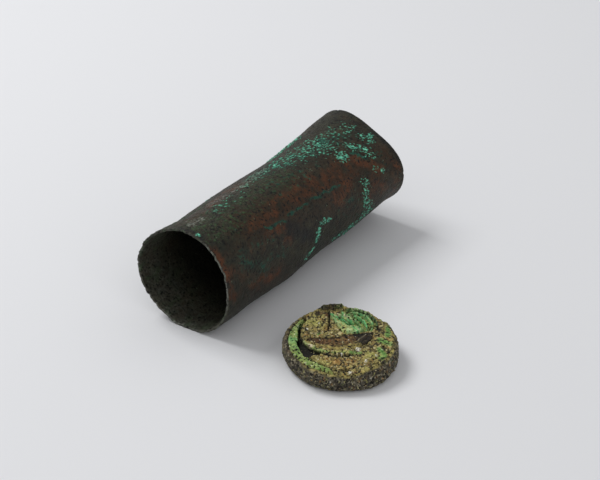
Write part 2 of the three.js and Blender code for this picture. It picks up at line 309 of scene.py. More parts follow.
def tube_patina():
    material, tree, place = new_material("copper-alloy patina, brown and olive")
    skin = tone(tree, place, 6.0, 0x1C1F18, 0x33271A, 6)
    skin = layered(tree, skin, [(speckle(tree, place, 1.0), tone(tree, place, 2.5, 0x1A211A, 0x3C3B2C))])
    # Besides stains, the dark layer lays painted shade deep inside the tube and along its far edge, and the
    # pale and olive layers lay painted light on the inner wall near the mouth
    layers = [
        (mask_of(tree, "brown"), tone(tree, place, 1.8, 0x2A1F14, 0x4A3320, 5)),
        (mask_of(tree, "cuprite"), tone(tree, place, 2.2, 0x2E2013, 0x653A20, 6)),
        (mask_of(tree, "dark"), linear(0x1B1B18)),
        (mask_of(tree, "olive"), tone(tree, place, 0.8, 0x1A281A, 0x3C5534)),
        (mask_of(tree, "teal"), tone(tree, place, 1.0, 0x0F2D25, 0x1F5746)),
        (mask_of(tree, "turquoise"), tone(tree, place, 0.4, 0x0F4A3A, 0x86F0CB)),
        (mask_of(tree, "pale"), tone(tree, place, 0.5, 0x4B4C44, 0x8C8E85)),
    ]
    colour = layered(tree, skin, layers)
    colour = sprinkled(tree, place, colour, size=0.45, dark=0x0B0B09, pale=0x5E6A58, pale_from=0.69)
    surface(tree, colour, PATINA_ROUGHNESS, grit=0.35, depth=0.13)
    return material


# %% [markdown]
# ### Dark crust, green patina, foil and set earth
# The lid is a mosaic. Medium sand, with grains of half a millimetre in quartz white, ochre, brown and
# black, is held in earth that copper has stained green and yellow. A cell pattern gives each grain its
# colour. The green of ring and foil is malachite, a copper carbonate, powdery and matt. The strip is
# foil under brown oxide. All are as rough as dry stone, so they share one builder and differ in colour.

# %% Lid materials
def mosaic(tree, place, size, colours):
    """Grains of the given size in millimetres, each in one of the colours."""
    cells = add(tree, "ShaderNodeTexVoronoi", {"Vector": place, "Scale": 1 / (size * MM)}, "Color")
    one = add(tree, "ShaderNodeSeparateColor", {"Color": cells})
    ramp = tree.nodes.new("ShaderNodeValToRGB")
    ramp.color_ramp.interpolation = "CONSTANT"
    for i, colour in enumerate(colours):
        at = i / len(colours)
        stop = ramp.color_ramp.elements[0] if i == 0 else ramp.color_ramp.elements.new(at)
        stop.position = at
        stop.color = linear(colour)
    ramp.color_ramp.elements.remove(ramp.color_ramp.elements[-1])
    tree.links.new(one, ramp.inputs["Fac"])
    return ramp.outputs["Color"]


# Each stain's name, the size of its patches in millimetres, and its darkest and lightest colour
LID_STAINS = [
    ("brown", 0.7, 0x32231A, 0x6B4A30),
    ("orange", 0.6, 0x7A5630, 0xC09452),
    ("sand", 0.5, 0x756C3C, 0xC9B96E),
    ("yellow", 0.6, 0x7D7C3A, 0xD2CC80),
    ("green", 0.6, 0x4B7A3C, 0x94B866),
    ("emerald", 0.5, 0x2A8A4E, 0x80E094),
    ("cream", 0.5, 0xC8B68C, 0xE9DFC0),
    ("dark", 0.6, 0x12120F, 0x2C2B26),
]
GRAIN_SIZE = 0.5
STONE_ROUGHNESS = 0.8


def lid_material(name, first, second, grain_colours, grain_share, pores):
    """A lid surface: two wandering colours, grains over a share of it, and the stains its masks give."""
    material, tree, place = new_material(name)
    ground = tone(tree, place, 1.6, first, second, 5)
    ground = layered(tree, ground, [(grain_share, mosaic(tree, place, GRAIN_SIZE, grain_colours))])
    stains = [(mask_of(tree, mask), tone(tree, place, *shades)) for mask, *shades in LID_STAINS]
    stains.append((mask_of(tree, "white"), linear(0xE8E4D2)))
    colour = layered(tree, ground, stains)
    colour = sprinkled(tree, place, colour, 0.4, 0x12110D, 0xCFC592, dark_from=1 - pores, pale_from=0.67)
    surface(tree, colour, STONE_ROUGHNESS, grit=0.3, depth=0.12)
    return material


# %% Finishes
tube_skin = tube_patina()
CRUST_GRAINS = [0x26251F, 0x575244, 0x6D675A, 0x463A2C, 0x8A8470, 0x33322C, 0x5F5844, 0xB9B094]
GRAIN_COLOURS = [0x24221C, 0x7A6E40, 0xA09458, 0x5A4226, 0xB8AB70, 0x35332A, 0x9A6C3A, 0xDCD0A4]
crust_skin = lid_material("corrosion crust, dark grey", 0x23221F, 0x524D42, CRUST_GRAINS,
                          grain_share=0.42, pores=0.45)
earth_skin = lid_material("set earth, sandy and copper-stained", 0x827A48, 0xC2B470, GRAIN_COLOURS,
                          grain_share=0.56, pores=0.44)
ring_skin = lid_material("malachite on copper alloy, light green", 0x669648, 0xB0C878, GRAIN_COLOURS,
                         grain_share=0.3, pores=0.46)
foil_skin = lid_material("malachite on foil, bright green", 0x72B068, 0xD2E8AA, GRAIN_COLOURS,
                         grain_share=0.26, pores=0.44)
strip_skin = lid_material("foil strip, brown oxide", 0x2A221C, 0x57442F, GRAIN_COLOURS,
                          grain_share=0.24, pores=0.46)

# %% [markdown]
# ## The tube
# Its section goes from round at the mouth to a blunt triangle at the far end, as a thin tube does when the
# ground presses on it. The measures are the same as in the CAD part. The outer skin carries the crusts as
# raised shape, and the mouth is torn.

# %% Tube measures
LENGTH = 92.0
WALL = 0.8
COLUMNS = 352
OUTER_ROWS = 218
INNER_ROWS = 52
# At mouth, middle and far end: radius, oval part and its direction, three-cornered part and its direction
SECTIONS = [(17.0, 0.1, 0, 0.43, 65), (16.8, 0.34, 22, 0.95, 64), (16.9, 0.43, -11, 1.56, 2)]
# Direction in degrees, distance from the mouth, height, and reach along the tube
DENTS = [
    (140, 12, -0.5, 6), (144, 36, 0.35, 11), (139, 58, -0.4, 8), (131, 84, 0.3, 6), (-48, 17, -0.3, 5),
    (-48, 36, 0.45, 6), (-46, 54, -0.25, 6), (-42, 70, 0.3, 6), (-33, 87, -0.4, 5),
]
DENT_WIDTH = 40
SEAM_AT, SEAM_STEP, SEAM_FADE = -112, 0.4, 50
FLAT_DEPTH = 0.14

# %% [markdown]
# The section at any distance from the mouth is blended from three, and dents and the lap of the seam are
# added to its radius. The axis slopes so that the tube rests on the table along its whole length, a little
# flattened there.

# %% Shape of the tube
def bump(angle, at, width):
    off = 2 * np.degrees(np.arcsin(np.sin(np.radians(angle - at) / 2)))
    return np.exp(-(off / width) ** 2)


def section_radius(section, angle):
    radius, oval, oval_at, corners, corner_at = section
    oval_out = oval * np.cos(2 * np.radians(angle - oval_at))
    return radius + oval_out + corners * np.cos(3 * np.radians(angle - corner_at))


def tube_radius(angle, y):
    s = y / LENGTH
    shares = (2 * (s - 0.5) * (s - 1), 4 * s * (1 - s), 2 * s * (s - 0.5))
    radius = sum(share * section_radius(section, angle) for share, section in zip(shares, SECTIONS))
    for at, along, out, reach in DENTS:
        radius = radius + out * np.exp(-((y - along) / reach) ** 2) * bump(angle, at, DENT_WIDTH)
    past = (angle - SEAM_AT) % 360
    return radius + np.where(past < SEAM_FADE, SEAM_STEP * (1 - past / SEAM_FADE), 0)


def axis_height(y):
    under = np.arange(-180, 0)
    heights = [-(section_radius(SECTIONS[i], under) * np.sin(np.radians(under))).min() for i in (0, 2)]
    return heights[0] + (heights[1] - heights[0]) * y / LENGTH - FLAT_DEPTH


def tube_points(angle, y, depth):
    """Places at an angle and a distance from the mouth, the given depth under the outer skin."""
    radius = tube_radius(angle, y) - depth
    x = TUBE_X + radius * np.cos(np.radians(angle))
    z = np.maximum(axis_height(y) + radius * np.sin(np.radians(angle)), np.maximum(depth, 0))
    return np.stack([x, MOUTH_Y + y, z], -1)


# %% [markdown]
# The stains are strokes on the unrolled sheet, each with its points, half width and strength. A point is
# a distance along the tube in millimetres and a direction round it in degrees, from the side towards the
# lid up over the top. Degrees are turned to millimetres of arc before measuring. The brightest crust comes
# first: turquoise in large patches on top, and in small ones towards the far end.

# %% Turquoise on the tube
ARC = np.radians(1) * 17.0
TURQUOISE = [
    ([(16, 88), (28, 92), (38, 99)], 3.0, 0.3),
    ([(42, 103), (50, 99), (58, 93), (66, 84), (70, 76)], 4.0, 0.44),
    ([(52, 88), (62, 80), (68, 70)], 3.4, 0.36),
    ([(60, 98), (70, 92), (80, 86), (84, 84)], 4.0, 0.36),
    ([(69, 58), (70.5, 57)], 1.7, 1.1),
    ([(82, 78)], 1.1, 1.0),
    ([(87.7, 59)], 1.3, 1.0),
    ([(79.6, 24)], 1.0, 1.0),
    ([(82.8, 19)], 1.0, 1.0),
    ([(76, 62), (79, 54), (81, 42)], 2.2, 0.62),
    ([(84, 64), (86, 52)], 1.6, 0.6),
    ([(72, 18), (72, -7), (75, -17), (66, -28)], 2.2, 0.56),
    ([(58, -30), (66, -34)], 1.6, 0.6),
    ([(50, 8), (47, 4), (47, -8), (44, -20), (42, -27)], 0.9, 0.85),
    ([(49.5, 5), (53.5, 3)], 0.6, 1.0),
    ([(1.2, 74)], 0.6, 1.2),
    ([(60, 130), (72, 126)], 3.0, 0.5),
    ([(30, 150), (36, 160)], 2.0, 0.5),
    ([(66, -160), (76, -150)], 2.6, 0.45),
]

# %% [markdown]
# Red oxide shows along the edge of the mouth and in a band on the side towards the lid, where the skin
# has worn off. Wide weak strokes of brown lie under it, because the skin is browner all round such places.

# %% Red and brown on the tube
CUPRITE = [
    ([(24, 168), (32, 160), (44, 164)], 3.4, 0.7),
    ([(62, -72), (48, -84)], 3.6, 0.65),
    ([(80, 150), (86, 165)], 3.0, 0.7),
    ([(0.6, 50), (1.2, 34), (1.0, 19), (1.6, 3), (2.6, -8)], 2.0, 1.0),
    ([(21, 46), (29, 50), (35, 55), (43, 53)], 4.0, 0.72),
    ([(21, 30), (26, 33), (31, 30), (33, 20), (32, 12)], 2.6, 0.8),
    ([(42, 48), (50, 50), (59, 46), (68, 43)], 5.0, 0.78),
    ([(70, 54), (73, 47), (76, 40), (80, 28), (82, 22)], 2.4, 1.0),
    ([(58, 24), (63, 26), (68, 22)], 4.2, 0.74),
    ([(12, -10), (18, -15), (25, -19)], 3.0, 0.62),
    ([(6, 20), (14, 26)], 3.0, 0.5),
    ([(88, 30), (89, 0), (88, -20)], 3.0, 0.55),
    ([(20, 105), (34, 110)], 4.0, 0.5),
    ([(75, 8), (80, 0)], 4.0, 0.5),
]
BROWN = [
    ([(18, 46), (45, 50), (78, 44)], 8.0, 0.8),
    ([(4, 26), (12, 0), (26, -22)], 6.0, 0.55),
    ([(56, 22), (80, 8)], 7.0, 0.7),
    ([(8, 100), (24, 108), (40, 112)], 5.0, 0.7),
    ([(86, 40), (89, 0)], 4.0, 0.8),
    ([(20, 160), (50, 170), (70, 150)], 8.0, 0.7),
    ([(60, -80), (30, -100)], 9.0, 0.6),
    ([(70, -150), (85, -170)], 6.0, 0.6),
]

# %% [markdown]
# Teal is the same crust where it is thin. It surrounds the turquoise and fills fine cracks. Olive covers
# the upper left near the mouth, and a few dark and grey patches finish the skin. The dark stroke along the
# far edge is painted shade, where the edge turns away.

# %% Teal, olive, dark and grey on the tube
TEAL = [
    ([(40, 100), (52, 92), (64, 84), (76, 78)], 6.5, 0.6),
    ([(70, 62), (80, 50), (84, 36)], 5.0, 0.5),
    ([(66, 14), (72, -6), (66, -26)], 3.6, 0.5),
    ([(23, 42), (25, 39), (28, 38), (31, 37), (32.5, 34)], 0.55, 1.1),
    ([(34, 37), (43, 37), (50, 36), (56, 34), (61, 33)], 0.7, 0.85),
    ([(9, 24), (14, 12), (20, 2)], 4.0, 0.62),
    ([(74, 56), (77, 46), (79, 36)], 0.9, 0.9),
    ([(40, 60), (50, 62), (60, 60)], 4.0, 0.45),
    ([(62, 8), (70, 2)], 5.0, 0.5),
    ([(82, 62), (84, 30)], 5.0, 0.45),
    ([(8, 30), (16, 34), (26, 24)], 3.0, 0.5),
    ([(36, 66), (50, 70)], 4.0, 0.5),
    ([(58, 6), (64, -8)], 5.0, 0.5),
    ([(10, -6), (20, 6), (30, 6)], 4.0, 0.5),
]
OLIVE = [
    ([(6, 84), (18, 80), (32, 80), (46, 74)], 6.0, 0.5),
    ([(3, 66), (12, 62), (24, 66)], 4.0, 0.42),
    ([(0, 128), (20, 124)], 5.0, 0.4),
]
DARK = [
    ([(33, 26), (37, 14), (42, 3)], 4.2, 0.85),
    ([(0.5, 92), (1.5, 78), (1.0, 66)], 1.0, 0.9),
    # painted shade along the far edge, where it turns away from the light
    ([(88, 90), (91, 60), (91, 20)], 1.6, 0.7),
    ([(44, 74), (52, 70)], 2.0, 0.5),
]
GREY = [([(5, 92), (9, 88)], 2.2, 0.55), ([(20, 104), (34, 100), (46, 106)], 3.0, 0.42)]

# %% [markdown]
# A stroke alone has a soft round edge. Added noise and a steep step turn it into patches with ragged edges.

# %% Strokes to patches
def covered(strokes, y, arc, noise_values, edge=0.12, spread=0.0):
    cover = painted([([(p[0], p[1] * ARC) for p in pts], w, s) for pts, w, s in strokes], y, arc)
    return smooth(1 - edge, 1 + edge, cover + spread + 0.55 * noise_values + 0.35) * smooth(0.06, 0.22, cover)


# %% [markdown]
# ### The wall
# Sheet has one thickness all over, so the inside is the outside moved in by the wall. One closed net makes
# both: along the outside, over the far edge, back along the inside and over the edge of the mouth. Crust
# could be sculpted by hand as well, but noise gives the same tube each time and can be tuned by numbers.

# %% Net of the wall
MOUTH_INSET, FAR_INSET, EDGE_ROWS = 0.25, 0.2, 3


def ring_rows():
    """Distances from the mouth and depths under the skin, over the outside, the far edge and the inside."""
    outer_y = np.linspace(MOUTH_INSET, LENGTH - FAR_INSET, OUTER_ROWS)
    far_y = np.full(EDGE_ROWS, LENGTH)
    inner_y = np.linspace(LENGTH - FAR_INSET, MOUTH_INSET, INNER_ROWS)
    mouth_y = np.array([0.05, 0.0, 0.0, 0.05])
    y = np.concatenate([outer_y, far_y, inner_y, mouth_y])
    edge = np.linspace(0.15, 0.85, EDGE_ROWS) * WALL
    mouth_depth = WALL * np.array([0.9, 0.65, 0.35, 0.1])
    depth = np.concatenate([np.zeros(OUTER_ROWS), edge, np.full(INNER_ROWS, WALL), mouth_depth])
    return y, depth


row_y, row_depth = ring_rows()
angles = np.linspace(-180, 180, COLUMNS, endpoint=False)
y, angle = (g.ravel() for g in np.meshgrid(row_y, angles, indexing="ij"))
depth = np.repeat(row_depth, COLUMNS)
flat = tube_points(angle, y, depth)
outside = depth < 0.01
arc = angle * ARC
print("wall net:", len(row_y), "rows of", COLUMNS)

# %% [markdown]
# Noise at four sizes, from clouds of 9 mm to crumbs of half a millimetre, feeds the stains and the relief
# alike. Stains that grew in the ground drift and fray, so the strokes are read at places that the noise
# has shifted.

# %% Stains of the wall
wander = fractal(flat, 3.0, 11, 4)
broad = fractal(flat, 9.0, 12, 4)
fine = fractal(flat, 1.1, 13, 3)
tiny = fractal(flat, 0.55, 14, 2)
DRIFT = 0.9
warped = y + DRIFT * wander, arc + DRIFT * fractal(flat, 3.0, 21, 3)
masks = {
    "turquoise": covered(TURQUOISE, *warped, 1.5 * tiny + 0.6 * fine, edge=0.08, spread=-0.08),
    "cuprite": 0.9 * covered(CUPRITE, *warped, 1.2 * wander + 0.6 * fine, edge=0.35, spread=0.3 * broad),
    "brown": 0.8 * covered(BROWN, *warped, wander + 0.3 * broad, edge=0.5, spread=0.1),
    "teal": covered(TEAL, *warped, 0.7 * fine + 0.6 * wander, edge=0.2),
    "olive": covered(OLIVE, *warped, 1.1 * fine + 0.5 * tiny, edge=0.2, spread=0.06),
    "dark": covered(DARK, *warped, 0.6 * wander, edge=0.3),
    "pale": covered(GREY, *warped, 1.3 * tiny + 0.3 * fine, edge=0.1),
}
for values in masks.values():
    values *= outside

# %% [markdown]
# Single crumbs of turquoise lie in loose clusters away from the big patches. The edge of the mouth is worn
# pale on the right and crusted grey underneath. Inside, the walls are painted olive-grey near the mouth as
# painted light, and darker with depth as painted shade.

# %% Crumbs, edges and inside
CRUMB_SPACING, CLUSTER_SIZE = 2.0, 16.0
CRUMB_SHARE, CRUMB_RADIUS = 0.16, 0.22
EDGE_DEPTH = 0.2


def thicken(mask, values):
    """Lays more of a stain on the wall, where it is thicker than what is there."""
    masks[mask] = np.maximum(masks[mask], values)


spot, spot_kind = grains(flat, CRUMB_SPACING, 22)
crumb_size = CRUMB_RADIUS * (spot_kind - (1 - CRUMB_SHARE)) / CRUMB_SHARE
crumbs = smooth(0.0, 0.12, crumb_size + 0.14 * tiny - spot) * (spot_kind > 1 - CRUMB_SHARE)
clusters = smooth(0.05, 0.5, fractal(flat, CLUSTER_SIZE, 23, 3))
thicken("turquoise", 0.75 * crumbs * outside * clusters)
rough_lip = np.exp(-y / 1.6) * bump(angle, -120, 55)
thicken("pale", 0.5 * rough_lip * smooth(0.0, 0.5, tiny))
lip = np.exp(-y / 1.5) * smooth(-170, -130, angle) * (1 - smooth(-60, -20, angle))
thicken("pale", 0.6 * lip * smooth(0.2, 0.7, tiny))
worn_edge = (y < EDGE_DEPTH) * smooth(-30, -5, angle) * (1 - smooth(50, 75, angle))
thicken("pale", 0.6 * worn_edge)
under_edge = (y < EDGE_DEPTH) * bump(angle, -110, 60)
thicken("pale", under_edge * smooth(-0.4, 0.5, tiny + 0.4 * fine))
# Painted light: the inner wall is paler and olive-grey near the mouth, where light falls in
painted_mouth_light = (1 - smooth(2, 22, y)) * (1 - outside)
thicken("pale", 0.28 * painted_mouth_light * (0.7 + 0.6 * fine))
thicken("olive", painted_mouth_light * 0.6 * smooth(0.0, 0.4, wander))
# Painted shade: inside the tube the wall darkens with depth
masks["dark"] = np.where(outside, masks["dark"], 0.8 * smooth(8, 30, y))

# %% [markdown]
# The skin is pitted, the crusts stand up from it, and where flakes have come off the red oxide it lies
# lower. The mouth is torn: noise along the rim alone moves it in and out, most on the left and below.

# %% Relief of the wall
PIT_DEPTH, FLAKE_DEPTH = 0.14, 0.05
TURQUOISE_RISE, OLIVE_RISE = 0.12, 0.08
SKIN_DROP = 0.08  # the skin starts this far inside the solid's, so that its crusts stay in the box
INSIDE_ROUGHER = 1.3
TEAR_REACH, TEAR_FINE, TEAR_BROAD = 1.2, 0.3, 0.45

rise = 0.05 * fine + 0.03 * tiny + 0.07 * broad
rise -= PIT_DEPTH * smooth(0.35, 0.7, fractal(flat, 1.6, 31, 2))
rise += masks["turquoise"] * (TURQUOISE_RISE + 0.1 * tiny) + OLIVE_RISE * masks["olive"] * (0.5 + tiny)
rise += rough_lip * (0.3 * fine + 0.25 * tiny) * outside
rise -= FLAKE_DEPTH * masks["cuprite"]
rise = np.where(outside, rise - SKIN_DROP, INSIDE_ROUGHER * rise)
round_mouth = on_plan(arc, 0 * arc)
ragged = 1 + 0.9 * bump(angle, 180, 60) + 0.5 * bump(angle, -100, 50)
torn = TEAR_FINE * ragged * fractal(round_mouth, 2.4, 41, 3)
torn = torn + TEAR_BROAD * ragged * smooth(0.2, 0.7, fractal(round_mouth, 5.0, 43, 2))
y_moved = np.clip(y + np.exp(-y / TEAR_REACH) * torn + 0.1, 0, LENGTH)
y_moved -= smooth(LENGTH - 1.5, LENGTH, y) * (0.12 + 0.1 * fine)
tube = tube_points(angle, y_moved, depth - rise)
tube_faces = net_faces(len(row_y), COLUMNS, True, True)
make_piece("tube_wall_patina", tube, tube_faces[:, ::-1], masks, tube_skin, "case", ["tube_wall"])

# %% [markdown]
# ### The closing disc
# A round of the same sheet, pressed in a little and dished in the middle, closes the far end. It is a net
# of rings that shrink to the middle, front and back, so that it fits the tube's own uneven section.

# %% Base disc
DISC_EDGE = WALL + 0.3
DISC_THICK, DISC_INSET, DISC_DISH = 1.0, 0.5, 0.6
DISC_RINGS = 44


def disc_points(share, face):
    angle_row, share_row = np.meshgrid(angles[::2], share)
    back = LENGTH - DISC_INSET - face * DISC_THICK
    y_row = back - DISC_DISH * (1 - smooth(0.6, 0.85, share_row))
    edge = tube_points(angle_row, np.full(angle_row.shape, LENGTH - DISC_INSET), DISC_EDGE)
    middle = np.array([TUBE_X, 0, axis_height(LENGTH)])
    spots = middle + (edge - middle) * share_row[..., None]
    spots[..., 1] = MOUTH_Y + y_row
    return spots


front = disc_points(np.linspace(0.002, 1, DISC_RINGS), 1)
back = disc_points(np.linspace(1, 0.002, DISC_RINGS), 0)
disc = np.concatenate([front, back]).reshape(-1, 3)
disc_noise = fractal(disc, 1.4, 51, 4)
disc[:, 1] += 0.12 * disc_noise - 0.05
disc_masks = {
    "cuprite": smooth(0.1, 0.6, fractal(disc, 5.0, 52, 4)),
    "turquoise": smooth(0.55, 0.7, disc_noise) * smooth(0.0, 0.4, fractal(disc, 7.0, 53, 3)),
    "olive": 0.5 * smooth(0.0, 0.6, fractal(disc, 3.0, 54, 3)),
}
disc_faces = net_faces(2 * DISC_RINGS, COLUMNS // 2, True, True)
make_piece("base_disc_patina", disc, disc_faces, disc_masks, tube_skin, "case", ["base_disc"])

# %% [markdown]
# ## The lid
# A shallow round cap seen from above. Its wall is swollen by a thick dark crust, a green ring stands
# inside it at the left, and set earth fills the rest, level with the rim.

# %% Lid measures
LID_TOP, LID_SLOPE = 7.5, 0.075
PLATE_THICK = 1.8
RIM_RADIUS, RIM_INNER, RIM_LIFT = 17.1, 15.1, 0.25
COLLAR_OUTER, COLLAR_INNER, COLLAR_LOW = 14.75, 12.6, 4.5
COLLAR_FROM, COLLAR_TO, COLLAR_EASE = 139, 255, 10
BED_BOTTOM = PLATE_THICK + 0.3
# Direction and width in degrees, and height or outward swell
RIM_RISES = [(101, 11, 1.5), (-88, 17, -1.0), (45, 6, -0.7)]
SIDE_SWELLS = [(-150, 30, -1.1), (-55, 24, 1.0)]
CRUST_DEPTH = 0.3  # the crust's noise stays about this far inside the solid's outline

# %% [markdown]
# Rim and earth are one surface to the eye, so both read the same rubble: hills of 3 mm, lumps of about a
# millimetre, and rounded grains on top. The pieces are made in the lid's own axes and turned at the end.

# %% Tools for the lid
def rubble_height(x, y):
    """How the lid's upper face rises and falls, the same over its rim and its earth."""
    p = on_plan(x, y)
    near, kind = grains(p, 0.85, 83)
    rise = 0.4 * fractal(p, 3.2, 81, 4) + 0.34 * fractal(p, 1.2, 82, 3)
    return rise + 0.4 * np.sqrt(np.clip(0.55 - near, 0, 1)) * (kind > 0.35), near, kind


def top_plane(y):
    return LID_TOP + LID_SLOPE * y


def on_lid(local):
    """From the lid's own axes to the frame's."""
    c, s = np.cos(LID_TURN), np.sin(LID_TURN)
    x = LID_MIDDLE[0] + c * local[:, 0] - s * local[:, 1]
    y = LID_MIDDLE[1] + s * local[:, 0] + c * local[:, 1]
    return np.stack([x, y, local[:, 2]], 1)


def resampled(points, step):
    """The same line with points about one step apart."""
    points = np.array(points, float)
    lengths = np.linalg.norm(np.diff(points, axis=0), axis=1)
    along = np.concatenate([[0], np.cumsum(lengths)])
    at = np.linspace(0, along[-1], max(2, int(along[-1] / step) + 1))
    return np.stack([np.interp(at, along, points[:, i]) for i in range(points.shape[1])], 1)


def lid_lathe(profile, columns):
    """A closed profile of radius and height, turned round the lid's middle."""
    ring = np.linspace(0, 360, columns, endpoint=False)
    angle, radius = np.meshgrid(ring, profile[:, 0])
    height = np.repeat(profile[:, 1], columns).reshape(angle.shape)
    return angle.ravel(), radius.ravel(), height.ravel()


def from_polar(angle, radius, height):
    turn = np.radians(angle)
    return np.stack([radius * np.cos(turn), radius * np.sin(turn), height], 1)


# %% [markdown]
# ### The rim and its crust
# Earth and copper salts have grown into one crust, thick enough to hide the metal of the rim. The rim is
# a closed profile turned round the lid's middle, and the crust is noise that pushes it out and in.

# %% Net of the rim
RIM_COLUMNS, RIM_STEP = 430, 0.27
RIM_PROFILE = [
    (RIM_INNER, 0.75), (RIM_INNER + 0.5, RIM_LIFT), (RIM_RADIUS - 0.9, 0.55), (RIM_RADIUS - 0.2, 1.55),
    (RIM_RADIUS, 3.0), (RIM_RADIUS, LID_TOP - 2.2), (RIM_RADIUS - 0.4, LID_TOP - 0.8),
    (RIM_RADIUS - 1.1, LID_TOP - 0.1), (RIM_INNER + 0.3, LID_TOP), (RIM_INNER, LID_TOP - 0.5),
]


def rim_height(angle):
    height = top_plane(RIM_RADIUS * np.sin(np.radians(angle)))
    for at, width, rise in RIM_RISES:
        height = height + rise * bump(angle, at, width)
    return height


profile = resampled(RIM_PROFILE + RIM_PROFILE[:1], RIM_STEP)[:-1]
angle, radius, height = lid_lathe(profile, RIM_COLUMNS)
share = (height - RIM_LIFT) / (LID_TOP - RIM_LIFT)
low_down = 1 - smooth(0.2, 0.9, share)
swell = np.ones(len(angle))
for at, width, out in SIDE_SWELLS:
    swell += out / RIM_RADIUS * low_down * bump(angle, at, width) * (radius > RIM_INNER + 0.1)
radius = radius * swell
height = RIM_LIFT + share * (rim_height(angle) - RIM_LIFT)
local = from_polar(angle, radius, height)

# %% [markdown]
# A lump of crust stands at the back. Its top stays at the height of the solid, because the lid has to
# close on the tube, but its shoulders are filled out, so that its sides are as steep as in the photograph.

# %% Relief of the rim
crust = fractal(local, 2.2, 61, 4)
grit, grit_kind = grains(local, 0.9, 62)
grit_rise = np.sqrt(np.clip(0.5 - grit, 0, 1)) * (grit_kind > 0.55)
outward = CRUST_DEPTH * (crust + 0.5 * fractal(local, 0.8, 63, 2) - 0.6) + 0.35 * grit_rise
wall_part = smooth(RIM_INNER + 0.2, RIM_RADIUS - 0.6, radius)
top_part = smooth(0.75, 1.0, share)
local[:, 0] += wall_part * outward * np.cos(np.radians(angle))
local[:, 1] += wall_part * outward * np.sin(np.radians(angle))
rubble, near_grain = rubble_height(local[:, 0], local[:, 1])[:2]
lump = smooth(84, 88, angle) * (1 - smooth(108, 113, angle))
at_lump, lump_width, lump_height = RIM_RISES[0]
shoulder = lump_height * np.clip(lump - bump(angle, at_lump, lump_width), 0, 1)
local[:, 2] += top_part * (rubble * (1 - 0.5 * lump) - 0.15 - 0.1 * lump + shoulder)
local[:, 2] = np.maximum(local[:, 2], 0.05)

# %% [markdown]
# The earth inside spills over the top of the rim, except on the lump and where the green ring stands. The
# side is dark crust with a few stains and white grains.

# %% Stains of the rim
spill = top_part * (1 - smooth(RIM_RADIUS - 1.0, RIM_RADIUS - 0.4, radius + 0.4 * crust))
on_side = 1 - top_part
ring_side = bump(angle, 190, 50)
spilled_green = spill * smooth(0.1, 0.5, fractal(local, 2.5, 65, 3)) * bump(angle, 30, 60)
side_green = 0.3 * on_side * smooth(0.6, 0.8, fractal(local, 2.0, 66, 3))
spilled_brown = 0.5 * spill * ring_side * smooth(-0.2, 0.3, crust)
lump_brown = 0.5 * lump * smooth(-0.2, 0.4, crust)
lump_dark = lump * top_part * 0.6 * smooth(-0.4, 0.2, fractal(local, 0.9, 68, 2))
rim_masks = {
    "sand": spill * smooth(-0.6, 0.1, crust) * (1 - ring_side) * (1 - 0.8 * lump),
    "green": np.maximum(spilled_green, side_green),
    "yellow": 0.6 * on_side * smooth(0.45, 0.7, fractal(local, 0.7, 67, 2)),
    "orange": 0.5 * on_side * smooth(0.5, 0.7, fractal(local, 1.1, 69, 2)),
    "brown": np.maximum(spilled_brown, lump_brown),
    "white": 0.7 * (1 - smooth(0.2, 0.3, grit)) * (grit_kind > 0.97),
    "dark": np.maximum(lump_dark, spill * 0.9 * smooth(0.62, 0.72, near_grain)),
}
faces = net_faces(len(profile), RIM_COLUMNS, True, True)
make_piece("lid_rim_crust", on_lid(local), faces, rim_masks, crust_skin, "lid", ["lid_rim"])

# %% [markdown]
# ### The green ring
# The ring is the metal of the inner wall, turned to malachite. It stands to its full height only from the
# back left to the front, and is broken low and buried elsewhere. It is turned like the rim, and then its
# inner edge draws back towards both ends, where it runs out under the earth.

# %% Net of the ring
RING_COLUMNS, RING_STEP = 360, 0.25
COLLAR_PROFILE = [
    (COLLAR_INNER, BED_BOTTOM), (COLLAR_OUTER, BED_BOTTOM), (COLLAR_OUTER, COLLAR_LOW - 0.4),
    (COLLAR_OUTER - 0.2, COLLAR_LOW), (COLLAR_INNER + 0.2, COLLAR_LOW), (COLLAR_INNER, COLLAR_LOW - 0.2),
]


def collar_shown(angle):
    turn = angle % 360
    started = smooth(COLLAR_FROM - COLLAR_EASE, COLLAR_FROM, turn)
    return started * (1 - smooth(COLLAR_TO, COLLAR_TO + COLLAR_EASE, turn))


def ring_taper(angle):
    """How far the ring's inner edge draws back towards its two ends, in millimetres."""
    turn = angle % 360
    return 1.5 * (1 - smooth(140, 172, turn)) + 1.2 * smooth(240, 262, turn)


profile = resampled(COLLAR_PROFILE + COLLAR_PROFILE[:1], RING_STEP)[:-1]
angle, radius, height = lid_lathe(profile, RING_COLUMNS)
full = top_plane(COLLAR_OUTER * np.sin(np.radians(angle))) - 0.2
stretch = (height - BED_BOTTOM) / (COLLAR_LOW - BED_BOTTOM)
height = BED_BOTTOM + stretch * (COLLAR_LOW + (full - COLLAR_LOW) * collar_shown(angle) - BED_BOTTOM)
local = from_polar(angle, radius, height)

